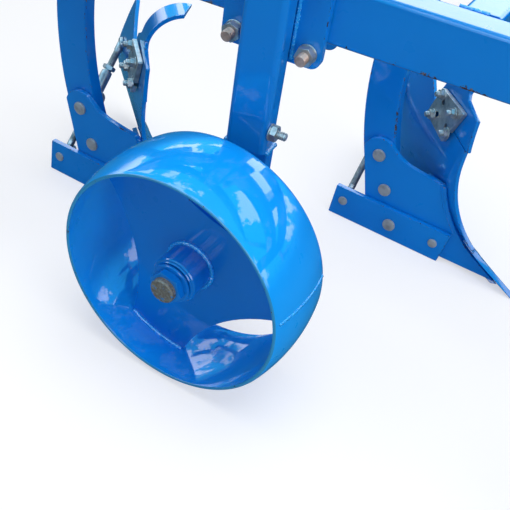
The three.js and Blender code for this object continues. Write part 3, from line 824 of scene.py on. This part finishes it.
backing = {
    "corners": [(27, 288), (42, 216), (98, 224), (92, 284)],
    "middle": (64, 254),
    "start": 7.3,  # behind the working surface
    "thickness": 8.0,
    "edge": 0.7,
    "bolts": [(83, 276), (83, 235), (44, 273), (40, 237)],
    "slotHalf": 4.6, "slotStep": 7,
    "slotIn": 1.9, "slotOut": 0.6,  # reach from its bolt to the plate's middle and away, in steps
    "nutTurn": 0.5,
}
onBacking = facing(*backing["middle"], backing["start"])


def flatPlace(y, z):  # a place behind the surface, in the flat plate's own axes
    return onBacking.inverted() @ (bodyZero + onSurface(y, z, backing["start"]) * mm)


def cutSlot(piece, bolt):
    spot = flatPlace(*bolt)
    half = backing["slotHalf"]
    inward = Vector((-spot.x, -spot.y, 0)).normalized() * backing["slotStep"] * mm
    across = Vector((-inward.y, inward.x, 0)).normalized() * half * mm
    ends = [(spot + inward * backing["slotIn"], 1), (spot - inward * backing["slotOut"], -1)]
    path = []
    for centre, sign in ends:
        for k in range(7):
            a = math.pi * k / 6
            spread = across * math.cos(a) * sign + inward.normalized() * half * mm * math.sin(a) * sign
            path.append((centre.x + spread.x, centre.y + spread.y, -20 * mm))
    cutter = plate("slot", path, (0, 0, 40 * mm))
    modify(piece, "BOOLEAN", operation="DIFFERENCE", object=cutter, solver="EXACT")
    discard(cutter)


def makeInsertPlate():
    corners = backing["corners"]
    outline = []
    for (y0, z0), (y1, z1) in zip(corners, corners[1:] + corners[:1]):
        for part in (0.03, 0.5, 0.97):  # along one side, short of its corners
            flat = flatPlace(y0 + (y1 - y0) * part, z0 + (z1 - z0) * part)
            outline.append((flat.x, flat.y, 0.5 * mm))
    piece = plate("front_insert_plate", outline, (0, 0, backing["thickness"] * mm))
    for bolt in backing["bolts"]:
        cutSlot(piece, bolt)
    wear(piece, zinc)
    roundEdges(piece, backing["edge"], 2, 40, slot=-1)
    return moved(piece, onBacking)


def makeInsertNuts():
    nuts = []
    for i, (y, z) in enumerate(backing["bolts"]):
        seat = facing(y, z, backing["start"] + backing["thickness"] + 0.6)
        turned = seat @ Matrix.Rotation(backing["nutTurn"] * i, 4, "Z")
        nuts.append(fit("bracketNut", turned))
    return joined("front_insert_nuts", nuts)


# stay from the landside's rear bolt to the wing

stay = {
    "foot": (0, 17.3, 37),
    "wing": (178, 205),  # where its head bears on the back of the board
    "headDepth": 9, "capDepth": 7.3,
    "rod": 6.4, "thread": 6.8, "sleeve": 10.4, "neck": 7.4,
    "lockNut": {"corner": 12.2, "height": 8},
    "eye": 14.6, "eyeHalf": 5.9,
    "eyeBehind": 16.6, "nutBehind": 22.7,  # from the landside's face
    "cap": {"radius": 12.5, "height": 6.5},
}


def threaded(start, end, radius, pitch=2.0):
    rings = []
    for k in range(int((end - start) / pitch)):
        rings += [(radius, start + pitch * k), (radius * 0.87, start + pitch * (k + 0.5))]
    return rings


def makeStay():
    foot = Vector(stay["foot"])
    head = onSurface(*stay["wing"], stay["headDepth"])
    run = (head - foot).length
    place = aim(bodyZero + foot * mm, head - foot)
    rod = stay["rod"]
    thread = stay["thread"]
    sleeve = stay["sleeve"]
    profile = [(0, 0), (rod, 0), (rod, 20)] + threaded(24, run * 0.42, thread)
    profile += [(rod, run * 0.42 + 1), (sleeve - 0.6, run * 0.44), (sleeve, run * 0.47),
                (sleeve, run * 0.72), (sleeve - 0.6, run * 0.745), (thread, run * 0.75)]
    profile += threaded(run * 0.76, run - 16, thread)
    profile += [(stay["neck"], run - 14), (stay["neck"], run + 1), (0, run + 1)]
    turnbuckle = moved(wear(lathe("turnbuckle", profile, 24), zinc), place)
    smooth(turnbuckle, 40)
    lockNut = moved(wear(hexBlock("lockNut", **stay["lockNut"]), zinc), place @ raised(run * 0.76))
    smooth(lockNut, 30)
    rim = stay["eye"]
    half = stay["eyeHalf"]
    eye = lathe("eye", [(0, -half), (rim - 1, -half), (rim, 1 - half), (rim, half - 1), (rim - 1, half),
                        (0, half)], 40)
    moved(wear(eye, zinc), aim(bodyPoint(foot.x, stay["eyeBehind"], foot.z), farSide))
    smooth(eye, 30)
    eyeNut = fit("backNut", aim(bodyPoint(foot.x, stay["nutBehind"], foot.z), farSide))
    cap = moved(roundHead("cap", **stay["cap"], finish=zinc), facing(*stay["wing"], stay["capDepth"]))
    return joined("front_turnbuckle_stay", [turnbuckle, lockNut, eye, eyeNut, cap])


# bolts of a body: landside and frog bolts at (x, z), board and share bolts at (y, z)

bodyBolts = {
    "landsideSmall": [(0, 37), (185, 35)],
    "landsideBig": [(98, 31)],
    "landsideNuts": [(98, 31), (185, 35)],
    "landsideBack": 20.6,
    "frog": [(41.5, 155.6), (68.7, 91.5)],
    "sheets": [(32, 88), (32, 132), (118, 196), (40, 30), (118, 32), (196, 34)],
    "sunk": 0.8,  # countersunk heads stand nearly level with the surface
}


def makeBodyBolts():
    bolts = []
    for x, z in bodyBolts["landsideSmall"]:
        bolts.append(fit("smallHead", aim(bodyPoint(x, 0, z), nearSide, 0.3)))
    for x, z in bodyBolts["landsideBig"]:
        bolts.append(fit("bigHead", aim(bodyPoint(x, 0, z), nearSide)))
    for x, z in bodyBolts["frog"]:
        bolts.append(fit("bigHead", aim(bodyPoint(x, frog["face"], z), nearSide)))
        back = barFace + bar["thickness"]
        bolts.append(fit("frameNut", aim(bodyPoint(x, back, z), farSide, 0.4)))
    for x, z in bodyBolts["landsideNuts"]:
        seat = bodyPoint(x, bodyBolts["landsideBack"], z)
        bolts.append(fit("backNut", aim(seat, farSide, 0.2)))
    for y, z in bodyBolts["sheets"] + backing["bolts"]:
        seat = bodyZero + onSurface(y, z, bodyBolts["sunk"]) * mm
        bolts.append(fit("flushHead", aim(seat, surfaceNormal(y, z))))
    return joined("front_body_bolts", bolts)


def makeShankBolts():
    near, far = (corner.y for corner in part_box("front_shank_bracket"))
    bolts = []
    for node in ("front_pivot_bolt", "front_shear_bolt"):
        low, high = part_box(node)
        centre = (low + high) / 2
        bolts.append(fit("frameHead", aim((centre.x, near, centre.z), nearSide, 0.3)))
        bolts.append(fit("frameNut", aim((centre.x, far, centre.z), farSide, 0.7)))
    return joined("front_shank_bolts", bolts)


moldboard = sheetPiece("front_moldboard_sheet", board)
share = sheetPiece("front_share_blade", blade)
frogPlate = makeFrog()
bodySet = [  # each piece, its slot and the nodes it stands for on both bodies
    (moldboard, "blue_paint", ["moldboard"]),
    (share, "blue_paint", ["share"]),
    (sheetPiece("front_trash_insert_sheet", insert, curledPoint), "blue_paint", ["trash_insert"]),
    (makeShank(), "blue_paint", ["shank"]),
    (frogPlate, "blue_paint", ["frog"]),
    (makeInsertPlate(), "zinc_plate", ["insert_bracket"]),
    (makeInsertNuts(), "zinc_plate", []),
    (makeStay(), "zinc_plate", ["stay_rod"]),
    (makeBodyBolts(), "zinc_plate", []),
    (makeShankBolts(), "zinc_plate", ["pivot_bolt", "shear_bolt"]),
]
for piece, slot, replaced in bodySet:
    twin = put(piece, piece.name.replace("front", "rear"), Matrix.Translation(rearShift))
    finished(piece, "plough", slot, *[f"front_{node}" for node in replaced])
    finished(twin, "plough", slot, *[f"rear_{node}" for node in replaced])
print("plough bodies made")


# wheel clamp and leg, in axes with x along the beam from the leg and y from the beam's near face

beam = {"yaw": math.radians(6.3), "depth": 50.0}
leg = {"axis": -34.6, "width": 60.0, "depth": 40.0, "corner": 9.5}
clamp = {"width": 142.0, "thickness": 14.0, "corner": 14.0, "edge": 1.2, "gap": 0.3}
studs = {"side": 52.0, "below": 13.0, "above": 15.0, "radius": 8.6}

beamLow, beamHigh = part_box("main_beam")
legLow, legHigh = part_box("wheel_leg")
clampLow, clampHigh = (corner.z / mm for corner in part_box("wheel_clamp_front"))
clampFront = -clamp["gap"] - clamp["thickness"]
clampBack = beam["depth"] + clamp["gap"]
legSide = leg["width"] / 2
legFront = leg["axis"] - leg["depth"] / 2
legBack = leg["axis"] + leg["depth"] / 2
legBottom = legLow.z / mm
legMiddle = Vector(((legLow.x + legHigh.x) / 2, (legLow.y + legHigh.y) / 2, 0))
beamTurn = Matrix.Rotation(beam["yaw"], 4, "Z")
onBeam = Matrix.Translation(legMiddle - beamTurn @ Vector((0, leg["axis"] * mm, 0))) @ beamTurn


def beamPlace(x, y, z, direction, turn=0.0):
    return onBeam @ aim(Vector((x, y, z)) * mm, direction, turn)


def roundedOutline(width, low, high, corner):  # a rectangle with round corners, centred on 0 across
    path = []
    side = width / 2 - corner
    centres = [(side, high - corner), (-side, high - corner), (-side, low + corner), (side, low + corner)]
    for quarter, (across, level) in enumerate(centres):
        for k in range(7):
            a = math.radians(90 * quarter + 15 * k)
            path.append((across + corner * math.cos(a), level + corner * math.sin(a)))
    return path


def beamPlate(name, corners, depth, node):  # a painted plate made in the beam's axes
    piece = moved(plate(name, [Vector(c) * mm for c in corners], depth), onBeam)
    wear(piece, enamel, enamelEdge)
    roundEdges(piece, clamp["edge"])
    finished(piece, "plough", "blue_paint", node)


def makeStuds():
    parts = []
    for x in (-studs["side"], studs["side"]):
        for z in (beamLow.z / mm - studs["below"], beamHigh.z / mm + studs["above"]):
            turn = dice.uniform(0, 1)
            parts.append(fit("clampNut", beamPlace(x, clampFront, z, nearSide, turn)))
            back = clampBack + clamp["thickness"]
            parts.append(fit("clampHead", beamPlace(x, back, z, farSide, turn)))
            run = clampBack - clampFront
            shaft = lathe("shaft", [(0, 0), (studs["radius"], 0), (studs["radius"], run), (0, run)], 20)
            parts.append(wear(moved(shaft, beamPlace(x, clampFront, z, farSide)), rustyZinc))
    finished(joined("wheel_clamp_studs", parts), "plough", "zinc_plate")


def makeLegScrew():
    low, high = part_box("leg_bolt")
    middle = onBeam.inverted() @ ((low + high) / 2)
    seat = beamPlace(legSide, middle.y / mm, middle.z / mm, (1, 0, 0), 0.2)
    finished(put(kit["legNut"], "leg_cross_bolt", seat), "plough", "zinc_plate", "leg_bolt")


for side, start in (("front", clampFront), ("back", clampBack)):
    corners = roundedOutline(clamp["width"], clampLow, clampHigh, clamp["corner"])
    beamPlate(f"wheel_clamp_plate_{side}", [(x, start, z) for x, z in corners],
              (0, clamp["thickness"] * mm, 0), f"wheel_clamp_{side}")
corners = roundedOutline(leg["width"], legFront, legBack, leg["corner"])
legRun = (0, 0, legHigh.z - legLow.z)
beamPlate("wheel_leg_tube", [(x, y, legBottom) for x, y in corners], legRun, "wheel_leg")
makeStuds()
makeLegScrew()


# linkage pins

topPin = {"radius": 9.5, "flange": 17.0, "flangeStart": 24, "flangeEnd": 16, "clip": 10,
          "clipAside": -9.5}  # the clip stands at the pin's side
lowerPin = {"radius": 11, "back": 32.2, "inward": 11, "up": 32}
lynch = {"tip": 3.4, "stem": 4.6, "head": 8, "below": 8, "above": 15, "ring": 11, "wire": 1.9, "ahead": 4.5}


def lynchPin(name, place, around, radius):  # an upright pin and a spring ring round the link pin's end
    low = -radius - lynch["below"]
    high = radius + lynch["above"]
    body = lynch["stem"]
    head = lynch["head"]
    stem = lathe("stem", [(0, low), (lynch["tip"], low), (body, low + 3), (body, radius + 3),
                          (head, radius + 4), (head, high - 2), (head - 1.5, high), (0, high)], 24)
    moved(stem, aim(place, (0, 0, 1)))
    selectNothing()
    bpy.ops.mesh.primitive_torus_add(major_radius=(radius + lynch["ring"]) * mm, major_segments=48,
                                     minor_radius=lynch["wire"] * mm, minor_segments=12)
    ring = bpy.context.active_object
    moved(ring, Matrix.Translation(Vector(around) * lynch["ahead"] * mm) @ aim(place, around))
    for part in (stem, ring):
        wear(part, zinc)
        smooth(part, 40)
    return joined(name, [stem, ring])


def makeTopPin():
    low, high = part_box("top_link_pin")
    middle = (low + high) / 2
    run = (high.y - low.y) / mm
    radius = topPin["radius"]
    rim = topPin["flange"]
    start = run - topPin["flangeStart"]
    end = run - topPin["flangeEnd"]
    profile = [(0, 0), (radius - 1.5, 0), (radius, 1.5), (radius, start), (rim - 0.5, start),
               (rim, start + 1), (rim, end - 1), (rim - 0.5, end), (radius, end), (radius, run - 1.5),
               (radius - 1.5, run), (0, run)]
    pin = lathe("pin", profile, 36)
    moved(wear(pin, zinc), aim((middle.x, low.y, middle.z), farSide))
    smooth(pin, 30)
    place = (middle.x + topPin["clipAside"] * mm, low.y + topPin["clip"] * mm, middle.z)
    clip = lynchPin("clip", place, farSide, radius)
    finished(joined("top_link_pin_and_clip", [pin, clip]), "plough", "zinc_plate", "top_link_pin")


makeTopPin()
for side, sign in (("left", 1), ("right", -1)):
    low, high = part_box(f"lower_link_{side}")
    end = high.y if side == "left" else low.y
    place = Vector((high.x, end, low.z)) + Vector((-lowerPin["back"], -sign * lowerPin["inward"],
                                                   lowerPin["up"])) * mm
    pin = lynchPin(f"lynch_pin_{side}", place, (0, sign, 0), lowerPin["radius"])
    finished(pin, "plough", "zinc_plate")
print("clamp and linkage pins made")


# welds of the frame; upright runs stop short of a bar's round corners, flat ones lie just inside its face

beadRadius = {"legLeft": 3.6, "legRight": 3.4, "legUnder": 3.0, "clamp": 2.8, "cross": 2.6, "head": 2.4,
              "link": 2.6, "stay": 2.4}
frameWelds = {"corner": 8, "inside": 0.8, "barDepth": 50.3, "mastThickness": 12.5, "cheek": 7}
runs = []


def weld(start, end, radius):
    runs.append(bead(straight(start, end), radius))


def beamWeld(start, end, radius):  # ends in the beam's axes, in mm
    weld(onBeam @ (Vector(start) * mm), onBeam @ (Vector(end) * mm), radius)


def uprightWeld(x, y, low, high, radius, top=frameWelds["corner"]):
    weld((x, y, low + frameWelds["corner"] * mm), (x, y, high - top * mm), radius)


def weldLeg():
    side = legSide + 0.5
    beamWeld((side, legFront + 8, legBottom), (side, legBack - 3, legBottom), beadRadius["legLeft"])
    beamWeld((-side, legFront + 8, legBottom), (-side, legBack - 3, legBottom), beadRadius["legRight"])
    under = legFront + 12
    beamWeld((5 - legSide, under, legBottom), (legSide - 5, under, legBottom), beadRadius["legUnder"])
    behind = legBack - 0.5
    for side in (legSide + 1, -legSide - 1):
        beamWeld((side, behind, clampLow + 6), (side, behind, clampHigh - 6), beadRadius["clamp"])


def weldCrossMember(node):  # its end against the back of the main beam
    low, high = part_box(node)
    depth = beam["depth"] * mm
    inside = frameWelds["inside"] * mm
    for x in (low.x, high.x):
        y = (onBeam @ Vector(((x - legMiddle.x) / math.cos(beam["yaw"]), depth, 0))).y
        uprightWeld(x, y, low.z, high.z, beadRadius["cross"])
    left = onBeam @ Vector((low.x + 6 * mm - legMiddle.x, depth, 0))
    right = onBeam @ Vector((high.x - 6 * mm - legMiddle.x, depth, 0))
    for z in (low.z + inside, high.z - inside):
        weld((left.x, left.y, z), (right.x, right.y, z), beadRadius["cross"])


def weldToHeadstock(node, near):  # a bar's front end against the headstock beam
    low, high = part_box(node)
    far = near + frameWelds["barDepth"] * mm
    corner = frameWelds["corner"] * mm
    for y in (near, far):
        uprightWeld(headLow.x, y, low.z, high.z, beadRadius["head"])
    z = high.z - frameWelds["inside"] * mm
    weld((headLow.x, near + corner, z), (headLow.x, far - corner, z), beadRadius["head"])


def weldLinkage(side, sign):  # foot of a mast and cheek of a lower link
    low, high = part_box(f"mast_{side}")
    foot = low.y if side == "right" else high.y
    z = low.z + frameWelds["inside"] * mm
    for y in (foot, foot - sign * frameWelds["mastThickness"] * mm):
        weld((low.x + 3 * mm, y, z), (high.x - 3 * mm, y, z), beadRadius["link"])
    low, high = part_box(f"lower_link_{side}")
    half = frameWelds["cheek"] * mm
    cheek = low.y + half if side == "left" else high.y - half
    for y in (cheek - half, cheek + half):
        uprightWeld(low.x + 0.5 * mm, y, headLow.z, high.z, beadRadius["link"], top=4)


weldLeg()
for node in ("front_cross_member", "rear_cross_member"):
    weldCrossMember(node)
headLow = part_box("headstock_beam")[0]
weldToHeadstock("main_beam", beamHigh.y - frameWelds["barDepth"] * mm)
weldToHeadstock("frame_brace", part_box("frame_brace")[0].y)
for side, sign in (("left", 1), ("right", -1)):
    weldLinkage(side, sign)
for offset in (-0.5, 40.5):  # both sides of the mast stay's foot on the beam
    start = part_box("mast_stay")[0] + Vector((14, offset, 0.6)) * mm
    weld(start, start + Vector((92, 1.3, 0)) * mm, beadRadius["stay"])
finished(joined("frame_welds", runs), "plough", "blue_paint")
print("frame welds made")


# camera, floor and light

view = {
    "place": (0.31688, -0.97175, 0.9573),
    "right": (0.8454, 0.5179, 0.1308),
    "up": (-0.4307, 0.5161, 0.7404),
    "back": (0.3160, -0.6822, 0.6594),
    "lens": 57.79,
    "sensor": 36,
}
floorLook = {
    "cool": (0.93, 0.935, 0.94, 1),
    "warm": (0.95, 0.955, 0.96, 1),
    "mirrored": (0.04, 0.17, 0.26, 1),
    "lit": (0.46, 0.46, 0.46, 1),  # the part that takes shadows; the rest of the tone is glow
    "glow": (0.56, 0.56, 0.56, 1),
    "fadeFrom": 1.1,  # metres from the middle, where it fades to the white behind
    "fadeTo": 3.0,
}
skyLook = {
    "deep": (0.12, 1.3, 2.3, 1),
    "cloud": (3.1, 3.5, 3.9, 1),
    "low": (0.03, 0.13, 0.24, 1),
    "light": (0.35, 0.39, 0.45, 1),
}
black = (0, 0, 0, 1)
white = (1, 1, 1, 1)
lamps = [
    {"name": "overhead", "place": (0.2, -0.1, 2.8), "aim": (0, 0, 0.3), "size": 2.4, "power": 60},
    {"name": "fill", "place": (2.3, -0.9, 1.3), "aim": (0, 0, 0.3), "size": 1.4, "power": 17},
]


def placeCamera():
    bpy.ops.object.camera_add()
    camera = bpy.context.active_object
    axes = Matrix((view["right"], view["up"], view["back"])).transposed().to_4x4()
    camera.matrix_world = Matrix.Translation(view["place"]) @ axes
    camera.data.lens = view["lens"]
    camera.data.sensor_width = view["sensor"]
    bpy.context.scene.camera = camera


def layFloor():
    selectNothing()
    bpy.ops.mesh.primitive_plane_add(size=14, location=(0, 0, -0.0005))
    floor = bpy.context.active_object
    floor.name = "studio_floor"
    ground = Finish("paleFloor")
    pale = ground.mix(ground.noise(3, 2), floorLook["cool"], floorLook["warm"])
    pale = ground.mix(ground.ray("Glossy"), pale, floorLook["mirrored"])
    seen = ground.ray("Camera")
    reach = ground.node("ShaderNodeVectorMath", {"operation": "LENGTH"}, {0: ground.place}, 1)
    far = ground.step(reach, floorLook["fadeFrom"], floorLook["fadeTo"])
    lit = ground.mix(far, floorLook["lit"], black)
    glow = ground.mix(far, floorLook["glow"], white)
    ground.wire({"Base Color": ground.mix(seen, pale, lit), "Emission Color": ground.mix(seen, black, glow),
                 "Roughness": 0.9, "Emission Strength": 1.0, "Specular IOR Level": 0.0})
    wear(floor, ground.material)


def hangLamps():
    for lamp in lamps:
        light = bpy.data.lights.new(lamp["name"], "AREA")
        light.shape = "DISK"
        light.size = lamp["size"]
        light.energy = lamp["power"]
        item = bpy.data.objects.new(lamp["name"], light)
        bpy.context.scene.collection.objects.link(item)
        item.visible_glossy = False
        item.matrix_world = aim(lamp["place"], Vector(lamp["place"]) - Vector(lamp["aim"]))


def lightSky():  # soft light; gloss sees clouds over a dark ground
    world = bpy.data.worlds.new("studio")
    bpy.context.scene.world = world
    world.use_nodes = True
    sky = Shader(world.node_tree)
    heading = sky.node("ShaderNodeTexCoord", {}, {}, "Generated")
    clouds = sky.node("ShaderNodeTexNoise", {},
                      {"Vector": heading, "Scale": 1.9, "Detail": 10, "Roughness": 0.66})
    mirrored = sky.mix(sky.step(clouds, 0.51, 0.54), skyLook["deep"], skyLook["cloud"])
    mirrored = sky.mix(sky.step(sky.height(heading), 0.0, 0.3), skyLook["low"], mirrored)
    soft = sky.mix(sky.ray("Glossy"), skyLook["light"], mirrored)
    background = world.node_tree.nodes["Background"]
    sky.feed(background.inputs["Color"], sky.mix(sky.ray("Camera"), soft, white))


placeCamera()
layFloor()
hangLamps()
lightSky()
bpy.context.scene.view_settings.view_transform = "Standard"
print("studio made")

discard(*kit.values())
